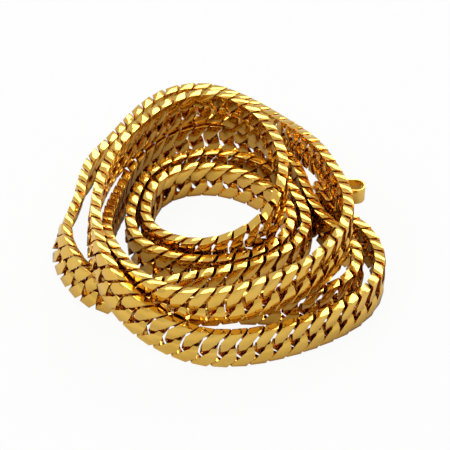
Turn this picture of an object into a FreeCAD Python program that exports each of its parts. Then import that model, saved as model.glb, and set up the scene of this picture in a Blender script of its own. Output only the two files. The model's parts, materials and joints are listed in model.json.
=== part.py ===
import math
import os

import FreeCAD, Part

Vec = FreeCAD.Vector

# An eyewear chain strap: flat curb links, each hooked through the next, lying on edge in a loose coil,
# with a loop of flat strip hooked on each end. Millimetres, +Z up, floor at Z = 0.

# ---- the curb link ----
link_width = 6.4           # height of the chain as it stands on edge
link_thickness = 1.7       # across its two flat faces
link_pitch = 2.9           # from one link to the next
arm_lean = 52              # degrees, of the arms from the chain's length
face_gap = 0.33            # along the chain, between the flat faces of two neighbours
end_play = 0.46            # between the hooked ends of two neighbours
end_width = 1.02           # of the wire where it turns at each end of a link
end_half_depth = 0.6
end_tip = 0.3              # of a face past the middle line, at its hooked end
shoulder_reach = 0.15      # of a face past the end's outer side
shoulder_height = 0.75     # of that corner above the middle line
throat_reach = 0.33        # of a face's inner corner past the end's inner side
throat_height = 0.5
elbow_height = 1.7         # where the outer edge of a face becomes straight
armpit_height = 0.95       # and the inner edge
brow_height = 1.67         # where the inner edge starts to fold over the chain's edge
brow_trim = 0.09           # off the face's corner at the chain's edge
edge_width = 1.0           # of the wire where it turns over each edge of the chain
edge_half_depth = 0.75
edge_trim = 0.1            # off the face's other corner there
edge_skew = 0.38           # of a face at the chain's edge, from the middle of the link
inner_width = 0.8          # of the narrow inner side of an arm
layer_gap = 0.3            # between the arms that cross in front and behind

# ---- the loops of flat strip at the two ends ----
strip_wall = 0.3
strip_height = 3.1
loop_depth = 3.1           # outside, across the loop
loop_length = 9.6          # outside, end to end
neck_height = 1.0          # of the strip where it passes through a link
neck_length = 1.6          # from the middle of the link's end to where the strip widens
flare_length = 1.6
head_loop_turn = -102      # degrees from straight on, about the link's height
tail_loop_turn = 6

# ---- how the chain is shared between the parts ----
links_per_run = 5
head_links = 3             # single links beside the head loop
tail_links = 5             # single links beside the tail loop
steps_per_span = 24        # of the smooth route, between two of its points

stack_gap = 0.3            # between a chain and one that lies on it

# The route that the chain lies along: x, y, layer that its lower edge stands on (0 the floor, 1 on top of
# another chain), lean of its upper edge outwards.
route = [
    (17.8, 8.5, 0, 0), (18.2, 6.3, 0, 0), (19.2, 3.8, 0, 0), (20.6, 1.4, 0, 0), (22.9, -1, 0, 0),
    (25.1, -4, 0, 0), (26.6, -8, 0, 0), (26.7, -12.3, 0, 0), (25.3, -16.6, 0, 0),
    (21.8, -20.7, 0, -1), (16.6, -24.1, 0, -3), (11, -26.6, 0, -5), (4.5, -28.4, 0, -7),
    (-2, -29, 0.104, -9), (-7.3, -27.9, 0.313, -10), (-11.5, -26, 0.567, -12), (-15, -22.9, 0.806, -13),
    (-17.6, -18.8, 0.985, -13), (-19.2, -14.2, 1, -12), (-20.1, -8.3, 1, -10), (-20.2, -2.2, 1, -8),
    (-19.2, 4, 1, -6), (-17.1, 10.2, 1, -4), (-13.6, 16.2, 1, -2),
    (-9.3, 21.3, 1, 0), (-4.2, 24.4, 1, 0), (1, 24.2, 1, 0), (5.5, 20.8, 1, 0),
    (8.8, 15.8, 1, 0), (10.7, 10, 1, 0), (11.2, 4.6, 1, 0),
    (10.3, -0.9, 0.925, 0), (7.9, -5.5, 0.672, 0), (3.2, -8.2, 0.418, 0), (-2.5, -8.9, 0.254, 0),
    (-7.5, -7.1, 0.164, 0), (-10.7, -4, 0.075, 0), (-12.1, 0.2, 0.015, 0), (-11.8, 4.5, 0, 0),
    (-10.1, 9.2, 0, 0), (-6.3, 12, 0, 0), (-1, 12.6, 0, 0), (4, 11, 0, 0), (8.2, 7.9, 0, 0),
    (11.4, 4, 0, 0), (12.6, -0.4, 0, 0), (11.7, -4.5, 0, 0), (9, -7.8, 0, 0),
    (5.6, -9.9, 0, 0), (1.5, -10.9, 0, 0), (-2.8, -11.1, 0, 0),
    (-7.5, -10.1, 0, 0), (-12.4, -7, 0, 0), (-14.5, -2, 0, 0), (-14.2, 3.6, 0, 0),
    (-12.7, 9, 0, 0), (-9.7, 13.3, 0, 0), (-4.8, 15.8, 0, 0), (0.6, 16.4, 0, 0),
    (6, 14.8, 0, 0), (10.4, 11.3, 0, 0), (12.95, 6.8, 0, 0), (14.55, 2, 0, 0),
    (15, -2.6, 0, 0), (13.2, -7, 0, 0), (9.6, -10.1, 0, 0), (5, -12.4, 0, 0),
    (0, -14, 0, 0), (-6, -15.6, 0, 0), (-11.8, -17, 0, 0), (-16.3, -17, 0, -5),
    (-20.4, -15.1, 0, -14), (-23.4, -11.3, 0, -19), (-25.4, -7.1, 0, -20), (-26.1, -2.9, 0, -21),
    (-25.3, 1.4, 0, -18.5), (-24.2, 5.6, 0, -15), (-23.7, 10.2, 0, -11), (-22.1, 15.1, 0, -6),
    (-19.1, 19.8, 0, -3), (-16.4, 24.6, 0, 0), (-13.6, 29.2, 0, 0), (-10.3, 32.9, 0, 0),
    (-6, 35, 0, 0), (-1, 35, 0, 0), (4, 32, 0.03, 0), (8.1, 27.4, 0.164, 0),
    (11.6, 21.8, 0.403, 0), (14.7, 15.9, 0.716, 0), (17.5, 10.1, 0.955, 0), (19.6, 4.6, 1, 0),
    (21.4, -1, 1, 0), (21.6, -6, 1, 0), (20.6, -10.7, 1, -3), (18.3, -15, 1, -6),
    (14.9, -18.9, 1, -7), (10.5, -22, 1, -8), (5.3, -24.4, 0.97, -8), (-0.2, -25.6, 0.925, -8),
    (-5.7, -25.4, 0.925, -8), (-10.6, -23.4, 0.955, -8), (-14.2, -19.6, 1, -6),
    (-16.8, -14.6, 0.955, -4), (-18, -9.5, 0.791, -2), (-18.1, -4, 0.537, -1), (-17.5, 1.7, 0.239, 0),
    (-16.4, 7.5, 0.015, 0), (-14.5, 13.5, 0, 0), (-11.2, 18.8, 0, 0),
    (-6.2, 22.9, 0, 0), (0, 24.1, 0, 0), (5.9, 22, 0, 0), (10.4, 18.1, 0, 0), (13.6, 13.5, 0, 0),
    (15, 8.7, 0, 0), (16, 4.4, 0, 0), (17.4, 0.7, 0, 0), (19.4, -2.3, 0, 0), (21.5, -5, 0, 0),
    (23.1, -8.5, 0, 0), (23, -12.1, 0, 0), (21.4, -15.3, 0, 0), (18.7, -17.4, 0, 0),
    (14.9, -18.9, 0, 0), (10.7, -19.4, 0, 0), (6, -19.4, 0, 0), (1.5, -19.4, 0, 0),
]

half_width = link_width / 2
layer_rise = link_width + stack_gap
end_inner = (link_pitch + end_play) / 2      # from a link's middle to the inner side of an end
end_outer = end_inner + end_width
end_reach = (end_inner + end_outer) / 2
face_length = link_pitch - face_gap          # along the chain


# ---- the route and the place of each link on it ----

def spline_point(before, start, end, after, share):
    """A point between start and end on a smooth curve through the four."""
    def blend(p0, p1, p2, p3):
        cubic = -p0 + 3 * p1 - 3 * p2 + p3
        square = 2 * p0 - 5 * p1 + 4 * p2 - p3
        return p1 + 0.5 * share * ((p2 - p0) + share * (square + share * cubic))
    return [blend(*values) for values in zip(before, start, end, after)]


def smooth_route():
    """Middle of the standing chain and its lean, in short steps."""
    first = [2 * a - b for a, b in zip(route[0], route[1])]
    last = [2 * a - b for a, b in zip(route[-1], route[-2])]
    points = [first, *route, last]
    steps = []
    for k in range(1, len(points) - 2):
        for step in range(steps_per_span):
            steps.append(spline_point(*points[k - 1:k + 3], step / steps_per_span))
    steps.append(route[-1])
    middles = []
    for x, y, layer, lean in steps:
        tilt = math.radians(lean)
        rise = half_width * math.cos(tilt) + link_thickness / 2 * abs(math.sin(tilt))
        middles.append((Vec(x, y, layer * layer_rise + rise), tilt))
    return middles


def hook_points():
    """Points one pitch apart along the route, where each link hooks the next."""
    middles = smooth_route()
    hooks = [middles[0]]
    for (start, start_tilt), (end, end_tilt) in zip(middles, middles[1:]):
        here = hooks[-1][0]
        if (end - here).Length < link_pitch:
            continue
        low, high = 0.0, 1.0
        while high - low > 1e-9:
            share = (low + high) / 2
            near = (start + (end - start) * share - here).Length < link_pitch
            low, high = (share, high) if near else (low, share)
        hooks.append((start + (end - start) * low, start_tilt + (end_tilt - start_tilt) * low))
    return hooks


def link_places():
    """Placement of each link: X along the chain, Y up its height, Z out of its front face."""
    places = []
    hooks = hook_points()
    for (start, start_tilt), (end, end_tilt) in zip(hooks, hooks[1:]):
        along = (end - start).normalize()
        left = Vec(0, 0, 1).cross(along).normalize()
        tilt = (start_tilt + end_tilt) / 2
        height = along.cross(left) * math.cos(tilt) + left * math.sin(tilt)
        turn = FreeCAD.Rotation(along, height, along.cross(height), "ZXY")
        places.append(FreeCAD.Placement((start + end) / 2, turn))
    return places


# ---- the link ----

def arm_edge(height, side):
    """Point on the outer (side 1) or inner (side -1) straight edge of the arm up from the right end."""
    run = edge_skew + (half_width - height) / math.tan(math.radians(arm_lean))
    return run + side * face_length / 2, height


def arm_section(outer, inner, ridge_depth):
    """Four corners of an arm: a narrow ridge towards the link's middle, and the flat face at the back."""
    outer, inner = Vec(*outer, 0), Vec(*inner, 0)
    middle = (outer + inner) / 2
    ridge = (outer - inner).normalize() * inner_width / 2
    corners = [(middle + ridge, ridge_depth), (middle - ridge, ridge_depth)]
    corners += [(inner, -link_thickness / 2), (outer, -link_thickness / 2)]
    return [point + Vec(0, 0, depth) for point, depth in corners]


def quarter_sections():
    """From the right end to the upper edge, where the arm lies at the back."""
    tip, deep = end_tip, end_half_depth
    end = [Vec(end_outer, tip, deep), Vec(end_inner, tip, deep)]
    end += [Vec(end_inner, -tip, -deep), Vec(end_outer, -tip, -deep)]
    top = face_length / 2 - edge_skew - edge_trim
    low = half_width - edge_width
    foot = -arm_edge(low, -1)[0]
    edge = [Vec(top, half_width, edge_half_depth), Vec(foot, low, edge_half_depth)]
    edge += [Vec(-foot, low, -edge_half_depth), Vec(-top, half_width, -edge_half_depth)]
    ridge = -layer_gap / 2
    shoulder = (end_outer + shoulder_reach, shoulder_height)
    throat = (end_inner - throat_reach, throat_height)
    brow = (edge_skew + face_length / 2 - brow_trim, half_width)
    return [
        end,
        arm_section(shoulder, throat, ridge),
        arm_section(arm_edge(elbow_height, 1), arm_edge(armpit_height, -1), ridge),
        arm_section(brow, arm_edge(brow_height, -1), 0),
        edge,
    ]


def link_sections():
    """The whole ring: the quarter turned over about the link's height, then that half turned round."""
    quarter = quarter_sections()
    half = list(quarter)
    for section in reversed(quarter[:-1]):
        half.append([Vec(-c.x, c.y, -c.z) for c in reversed(section)])
    return half + [[Vec(-c.x, -c.y, c.z) for c in section] for section in half[1:-1]]


def facets(a, b, c, d):
    """The four-sided face a, b, c, d, or two triangles where its corners aren't in one plane."""
    normal = (b - a).cross(c - a)
    if abs(normal.dot(d - a)) < 1e-9:
        loops = [(a, b, c, d)]
    else:
        loops = [(a, b, c), (a, c, d)]
    return [Part.Face(Part.makePolygon([*loop, loop[0]])) for loop in loops]


def make_link():
    sections = link_sections()
    faces = []
    for this, following in zip(sections, sections[1:] + sections[:1]):
        for k in range(4):
            after = (k + 1) % 4
            faces += facets(this[k], following[k], following[after], this[after])
    link = Part.makeSolid(Part.makeShell(faces))
    if link.Volume < 0:
        link.reverse()
    return link


# ---- the end loops ----

def oval_prism(half_depth, far_end, height):
    """A slot shape about the link's end: a half circle there, and one at far_end along X."""
    run = far_end - half_depth
    ends = [Part.makeCylinder(half_depth, height, Vec(x, 0, -height / 2)) for x in (0, run)]
    middle = Part.makeBox(run, 2 * half_depth, height, Vec(0, -half_depth, -height / 2))
    return middle.fuse(ends).removeSplitter()


def make_loop():
    """A closed loop of flat strip, narrow where it passes through a link. Z is along the strip's height."""
    half_depth = loop_depth / 2
    far_end = loop_length - half_depth
    ring = oval_prism(half_depth, far_end, strip_height)
    ring = ring.cut(oval_prism(half_depth - strip_wall, far_end - strip_wall, 2 * strip_height))
    neck, full = neck_height / 2, strip_height / 2
    wide = neck_length + flare_length
    upper = [(-loop_depth, neck), (neck_length, neck), (wide, full), (loop_length, full)]
    profile = [Vec(x, -loop_depth, z) for x, z in upper]
    profile += [Vec(x, -loop_depth, -z) for x, z in reversed(upper)]
    outline = Part.Face(Part.makePolygon([*profile, profile[0]]))
    return ring.common(outline.extrude(Vec(0, 2 * loop_depth, 0)))


def loop_place(link_place, side, turn):
    """Hooked on the right (side 1) or left (side -1) end of a link, turned about the link's height."""
    stand = FreeCAD.Rotation(Vec(side, 0, 0), Vec(0, 0, -side), Vec(0, 1, 0), "ZXY")
    swing = FreeCAD.Rotation(Vec(0, 1, 0), turn)
    end = FreeCAD.Placement(Vec(side * end_reach, 0, 0), swing.multiply(stand))
    return link_place.multiply(end)


# ---- the assembly ----

def placed(shape, place):
    return shape.transformed(place.toMatrix(), True)


def chain_groups(links):
    """Single links at the two ends, which hang free, and runs of links between them."""
    groups = {}
    for k in range(head_links):
        groups[f"head_link_{k + 1}"] = [links[k]]
    lying = links[head_links:len(links) - tail_links]
    for k, start in enumerate(range(0, len(lying), links_per_run)):
        groups[f"chain_run_{k + 1:02d}"] = lying[start:start + links_per_run]
    for k in range(tail_links):
        groups[f"tail_link_{k + 1}"] = [links[-1 - k]]
    return groups


def build():
    places = link_places()
    link = make_link()
    loop = make_loop()
    links = [placed(link, place) for place in places]
    parts = {name: Part.makeCompound(group) for name, group in chain_groups(links).items()}
    parts["head_loop"] = placed(loop, loop_place(places[0], -1, head_loop_turn))
    parts["tail_loop"] = placed(loop, loop_place(places[-1], 1, tail_loop_turn))
    box = Part.makeCompound(list(parts.values())).BoundBox
    floor_middle = Vec(-box.Center.x, -box.Center.y, -box.ZMin)
    for shape in parts.values():
        shape.translate(floor_middle)
    return parts, places, floor_middle


parts, places, floor_middle = build()
os.makedirs("parts", exist_ok=True)
for name, shape in parts.items():
    shape.exportStep(f"parts/{name}.step")
print(len(parts), "nodes,", len(places), "links,", round(len(places) * link_pitch), "mm of chain")
print("moved by", [round(c, 3) for c in floor_middle])
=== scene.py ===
import json
import math
import bpy
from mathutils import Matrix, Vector

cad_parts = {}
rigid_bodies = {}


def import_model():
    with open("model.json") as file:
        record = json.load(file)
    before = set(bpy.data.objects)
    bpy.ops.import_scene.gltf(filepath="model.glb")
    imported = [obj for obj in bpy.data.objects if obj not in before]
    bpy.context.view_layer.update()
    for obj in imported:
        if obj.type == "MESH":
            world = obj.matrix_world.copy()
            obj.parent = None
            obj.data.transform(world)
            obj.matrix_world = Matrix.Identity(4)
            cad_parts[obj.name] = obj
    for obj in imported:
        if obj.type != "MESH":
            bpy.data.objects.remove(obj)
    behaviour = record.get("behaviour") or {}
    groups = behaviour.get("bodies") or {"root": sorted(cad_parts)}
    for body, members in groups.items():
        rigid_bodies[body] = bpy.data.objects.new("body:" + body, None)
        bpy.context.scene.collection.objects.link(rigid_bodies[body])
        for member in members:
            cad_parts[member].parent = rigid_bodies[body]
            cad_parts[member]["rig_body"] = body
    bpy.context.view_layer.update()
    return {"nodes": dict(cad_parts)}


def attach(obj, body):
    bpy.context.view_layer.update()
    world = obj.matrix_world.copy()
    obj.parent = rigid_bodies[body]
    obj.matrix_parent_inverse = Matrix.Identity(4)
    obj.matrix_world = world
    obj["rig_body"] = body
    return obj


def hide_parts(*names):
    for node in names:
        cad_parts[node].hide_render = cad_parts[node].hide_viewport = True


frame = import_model()

# Eyeglasses chain strap in metres: polished gold curb links lying on edge in a loose coil,
# with a loop of flat strip hooked on each end.


def deselectAll():
    if bpy.context.mode != "OBJECT":
        bpy.ops.object.mode_set(mode="OBJECT")
    bpy.ops.object.select_all(action="DESELECT")


def pick(obj):
    deselectAll()
    obj.select_set(True)
    bpy.context.view_layer.objects.active = obj


def addModifier(obj, kind, settings):
    # puts a modifier on the piece and applies it
    modifier = obj.modifiers.new(kind.lower(), kind)
    for name, value in settings.items():
        setattr(modifier, name, value)
    pick(obj)
    bpy.ops.object.modifier_apply(modifier=modifier.name)


class Wire:
    # a socket of a finish; sums written on it add Math nodes
    def __init__(self, finish, socket):
        self.finish = finish
        self.socket = socket

    def maths(self, operation, first, second):
        return self.finish.node("ShaderNodeMath", {0: first, 1: second}, {"operation": operation})

    def __add__(self, other):
        return self.maths("ADD", self, other)

    def __radd__(self, other):
        return self.maths("ADD", other, self)

    def __mul__(self, other):
        return self.maths("MULTIPLY", self, other)

    def __rmul__(self, other):
        return self.maths("MULTIPLY", other, self)

    def __pow__(self, other):
        return self.maths("POWER", self, other)


class Finish:
    def __init__(self, name, tree=None):
        self.material = None
        if tree is None:
            self.material = bpy.data.materials.new(name)
            self.material.use_nodes = True
            tree = self.material.node_tree
        self.tree = tree
        tree.nodes.clear()

    def node(self, kind, sockets=None, settings=None, out=0):
        # one node: its settings first, then the values or wires of its sockets
        made = self.tree.nodes.new(kind)
        for name, value in (settings or {}).items():
            setattr(made, name, value)
        for name, value in (sockets or {}).items():
            if isinstance(value, Wire):
                self.tree.links.new(value.socket, made.inputs[name])
            else:
                made.inputs[name].default_value = value
        if not made.outputs:
            return None
        return Wire(self, made.outputs[out])


def grey(level):
    return (level, level, level, 1)


def blendColours(finish, share, first, second):
    # sockets 0, 6 and 7 are the Mix node's share and its two colours, and 2 its mixed colour
    return finish.node(
        "ShaderNodeMix", {0: share, 6: first, 7: second}, {"data_type": "RGBA"}, out=2)


print("stage: finishes")

gold = {
    "light": (0.94, 0.63, 0.15, 1),
    "deep": (0.88, 0.505, 0.07, 1),
    # painted shade: a dark maroon gold for the crevices between links, where shade falls
    "paintedShadeColour": (0.42, 0.11, 0.008, 1),
    "paintedShadeReach": 0.0009,    # painted shade: how near another surface must be to darken this one
    "paintedShadeSpread": 1.6,      # more than 1 lets the painted shade out further
    "paintedShadeSamples": 3,
    "patchSize": 260,          # of the change between the light and deep gold, per metre
    "patchDetail": 2,
    "roughness": 0.085,
    "hazeRoughness": 0.09,     # more, where the polish is hazy
    "hazeFocus": 2,            # more keeps the haze to fewer spots
    "hazeSize": 900,
    "hazeDetail": 4,
    "dentSize": 520,           # of the soft unevenness left by pressing the links flat
    "dentDetail": 0,
    "dentDepth": 0.0002,
    "grainSize": 5200,
    "grainDetail": 3,
    "grainShare": 0.012,       # of the dents' depth
}
loopGoldSizes = {**gold, "roughness": 0.12, "patchSize": 180}


def polishedGold(name, sizes):
    finish = Finish(name)
    place = finish.node("ShaderNodeTexCoord", out="Object")
    patches, haze, dents, grain = [
        finish.node("ShaderNodeTexNoise", {
            "Vector": place, "Scale": sizes[kind + "Size"], "Detail": sizes[kind + "Detail"]})
        for kind in ("patch", "haze", "dent", "grain")]
    metal = blendColours(finish, patches, sizes["light"], sizes["deep"])
    # painted shade: ambient occlusion mixes the dark crevice colour into the gold where surfaces
    # are close together
    paintedShadeOpenness = finish.node(
        "ShaderNodeAmbientOcclusion", {"Distance": sizes["paintedShadeReach"]},
        {"samples": sizes["paintedShadeSamples"]}, out="AO")
    colour = blendColours(finish, paintedShadeOpenness ** sizes["paintedShadeSpread"], sizes["paintedShadeColour"], metal)
    roughness = sizes["roughness"] + sizes["hazeRoughness"] * haze ** sizes["hazeFocus"]
    unevenness = dents + sizes["grainShare"] * grain
    bump = finish.node("ShaderNodeBump", {"Height": unevenness, "Distance": sizes["dentDepth"]})
    shader = finish.node("ShaderNodeBsdfPrincipled", {
        "Base Color": colour, "Metallic": 1.0, "Roughness": roughness, "Normal": bump})
    finish.node("ShaderNodeOutputMaterial", {"Surface": shader})
    return finish.material


linkGold = polishedGold("polishedLinkGold", gold)
loopGold = polishedGold("polishedLoopGold", loopGoldSizes)

print("stage: links")

merging = {
    "gap": 0.000002,           # between points that are one
    "flatAngle": 1,            # degrees, between triangles of one flat face
    "cornerAngle": 180,        # degrees, so that a face of any shape is joined
}
links = {
    "bevel": 0.00014,          # of the wire's edges, rounded by polishing
    "bevelSteps": 3,
    "bevelAngle": 28,          # degrees, the least that an edge turns to be rounded
    "smoothAngle": 50,
}
loops = {
    "bevel": 0.00007,
    "bevelSteps": 2,
    "bevelAngle": 40,
    "smoothAngle": 40,
}


def mergeFaces(piece, sizes):
    # joins loose triangles into the flat faces that they make up
    pick(piece)
    bpy.ops.object.mode_set(mode="EDIT")
    bpy.ops.mesh.select_all(action="SELECT")
    bpy.ops.mesh.remove_doubles(threshold=sizes["gap"])
    bpy.ops.mesh.tris_convert_to_quads(
        face_threshold=math.radians(sizes["flatAngle"]),
        shape_threshold=math.radians(sizes["cornerAngle"]))
    bpy.ops.object.mode_set(mode="OBJECT")


def dressedCopy(nodeName, sizes, material):
    # a merged copy of the CAD node with its edges rounded
    node = frame["nodes"][nodeName]
    piece = node.copy()
    piece.data = node.data.copy()
    piece.name = nodeName + "_polished"
    bpy.context.scene.collection.objects.link(piece)
    for key in list(piece.keys()):   # the node's own marks stay with the node
        del piece[key]
    piece.parent = None
    mergeFaces(piece, merging)
    addModifier(piece, "BEVEL", {
        "width": sizes["bevel"], "segments": sizes["bevelSteps"], "limit_method": "ANGLE",
        "angle_limit": math.radians(sizes["bevelAngle"]), "harden_normals": False,
        "use_clamp_overlap": True})
    bpy.ops.object.shade_smooth_by_angle(angle=math.radians(sizes["smoothAngle"]))
    piece.data.materials.clear()
    piece.data.materials.append(material)
    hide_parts(nodeName)
    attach(piece, node["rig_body"])
    return piece


triangles = 0
for nodeName in sorted(frame["nodes"]):
    isLoop = "loop" in nodeName
    piece = dressedCopy(nodeName, loops if isLoop else links, loopGold if isLoop else linkGold)
    triangles += sum(len(face.vertices) - 2 for face in piece.data.polygons)
print("triangles:", triangles)

print("stage: studio")

studio = {
    "middle": (0.000046, -0.00306, 0.003044),   # what the camera looks at, before it moves aside
    "elevation": 42,
    "distance": 0.3,
    "viewWidth": 0.0765,       # metres across the view, at the middle
    "sensorWidth": 36,         # millimetres
    "moveRight": 0.00136,      # of the camera, metres
    "moveUp": 0.00051,
    "nearest": 0.01,
    "farthest": 20,
    "floorSize": 4,
    "floorColour": 0.76,
    "floorGlow": 0.93,         # share of plain white in the floor as the camera sees it
    "skyForMetal": 0.64,
    "skyForFloor": 0.55,
}
lamps = {
    "keyLamp": {"place": (-0.35, -0.15, 0.55), "size": (0.5, 0.5), "power": 1.7},
    "backLamp": {"place": (0.15, 0.45, 0.42), "size": (0.5, 0.22), "power": 1.5},
}


def addCamera(sizes):
    tilt = math.radians(sizes["elevation"])
    back = Vector((0, -math.cos(tilt), math.sin(tilt)))
    up = Vector((0, math.sin(tilt), math.cos(tilt)))
    right = Vector((1, 0, 0))
    place = Vector(sizes["middle"]) + back * sizes["distance"]
    place += right * sizes["moveRight"] + up * sizes["moveUp"]
    bpy.ops.object.camera_add(location=place, rotation=(math.pi / 2 - tilt, 0, 0))
    camera = bpy.context.object
    camera.name = "camera"
    camera.data.sensor_width = sizes["sensorWidth"]
    camera.data.lens = sizes["sensorWidth"] * sizes["distance"] / sizes["viewWidth"]
    camera.data.clip_start = sizes["nearest"]
    camera.data.clip_end = sizes["farthest"]
    bpy.context.scene.camera = camera


def addFloor(sizes):
    deselectAll()
    bpy.ops.mesh.primitive_plane_add(size=sizes["floorSize"], location=(0, 0, 0))
    floor = bpy.context.object
    floor.name = "floor"
    finish = Finish("paleFloor")
    toCamera = finish.node("ShaderNodeLightPath", out="Is Camera Ray")
    matt = finish.node("ShaderNodeBsdfDiffuse", {"Color": grey(sizes["floorColour"])})
    glow = finish.node("ShaderNodeEmission", {"Color": grey(1), "Strength": 1})
    share = toCamera * sizes["floorGlow"]
    surface = finish.node("ShaderNodeMixShader", {0: share, 1: matt, 2: glow})
    finish.node("ShaderNodeOutputMaterial", {"Surface": surface})
    floor.data.materials.append(finish.material)


def addLamp(name, sizes):
    deselectAll()
    bpy.ops.object.light_add(type="AREA", location=sizes["place"])
    lamp = bpy.context.object
    lamp.name = name
    lamp.data.shape = "RECTANGLE"
    lamp.data.size, lamp.data.size_y = sizes["size"]
    lamp.data.energy = sizes["power"]
    lamp.rotation_euler = (-Vector(sizes["place"])).to_track_quat("-Z", "Y").to_euler()


def addSky(sizes):
    # white to the camera, dimmer to the floor and to the metal
    world = bpy.data.worlds.new("studioSky")
    bpy.context.scene.world = world
    world.use_nodes = True
    sky = Finish("studioSky", world.node_tree)
    toCamera = sky.node("ShaderNodeLightPath", out="Is Camera Ray")
    toMetal = sky.node("ShaderNodeLightPath", out="Is Glossy Ray")
    strength = (sizes["skyForFloor"] + toCamera * (1 - sizes["skyForFloor"])
                + toMetal * (sizes["skyForMetal"] - sizes["skyForFloor"]))
    surface = sky.node("ShaderNodeBackground", {"Color": grey(1), "Strength": strength})
    sky.node("ShaderNodeOutputWorld", {"Surface": surface})


addCamera(studio)
addFloor(studio)
addSky(studio)
for name, sizes in lamps.items():
    addLamp(name, sizes)
bpy.context.scene.view_settings.view_transform = "Standard"

print("stage: finish")
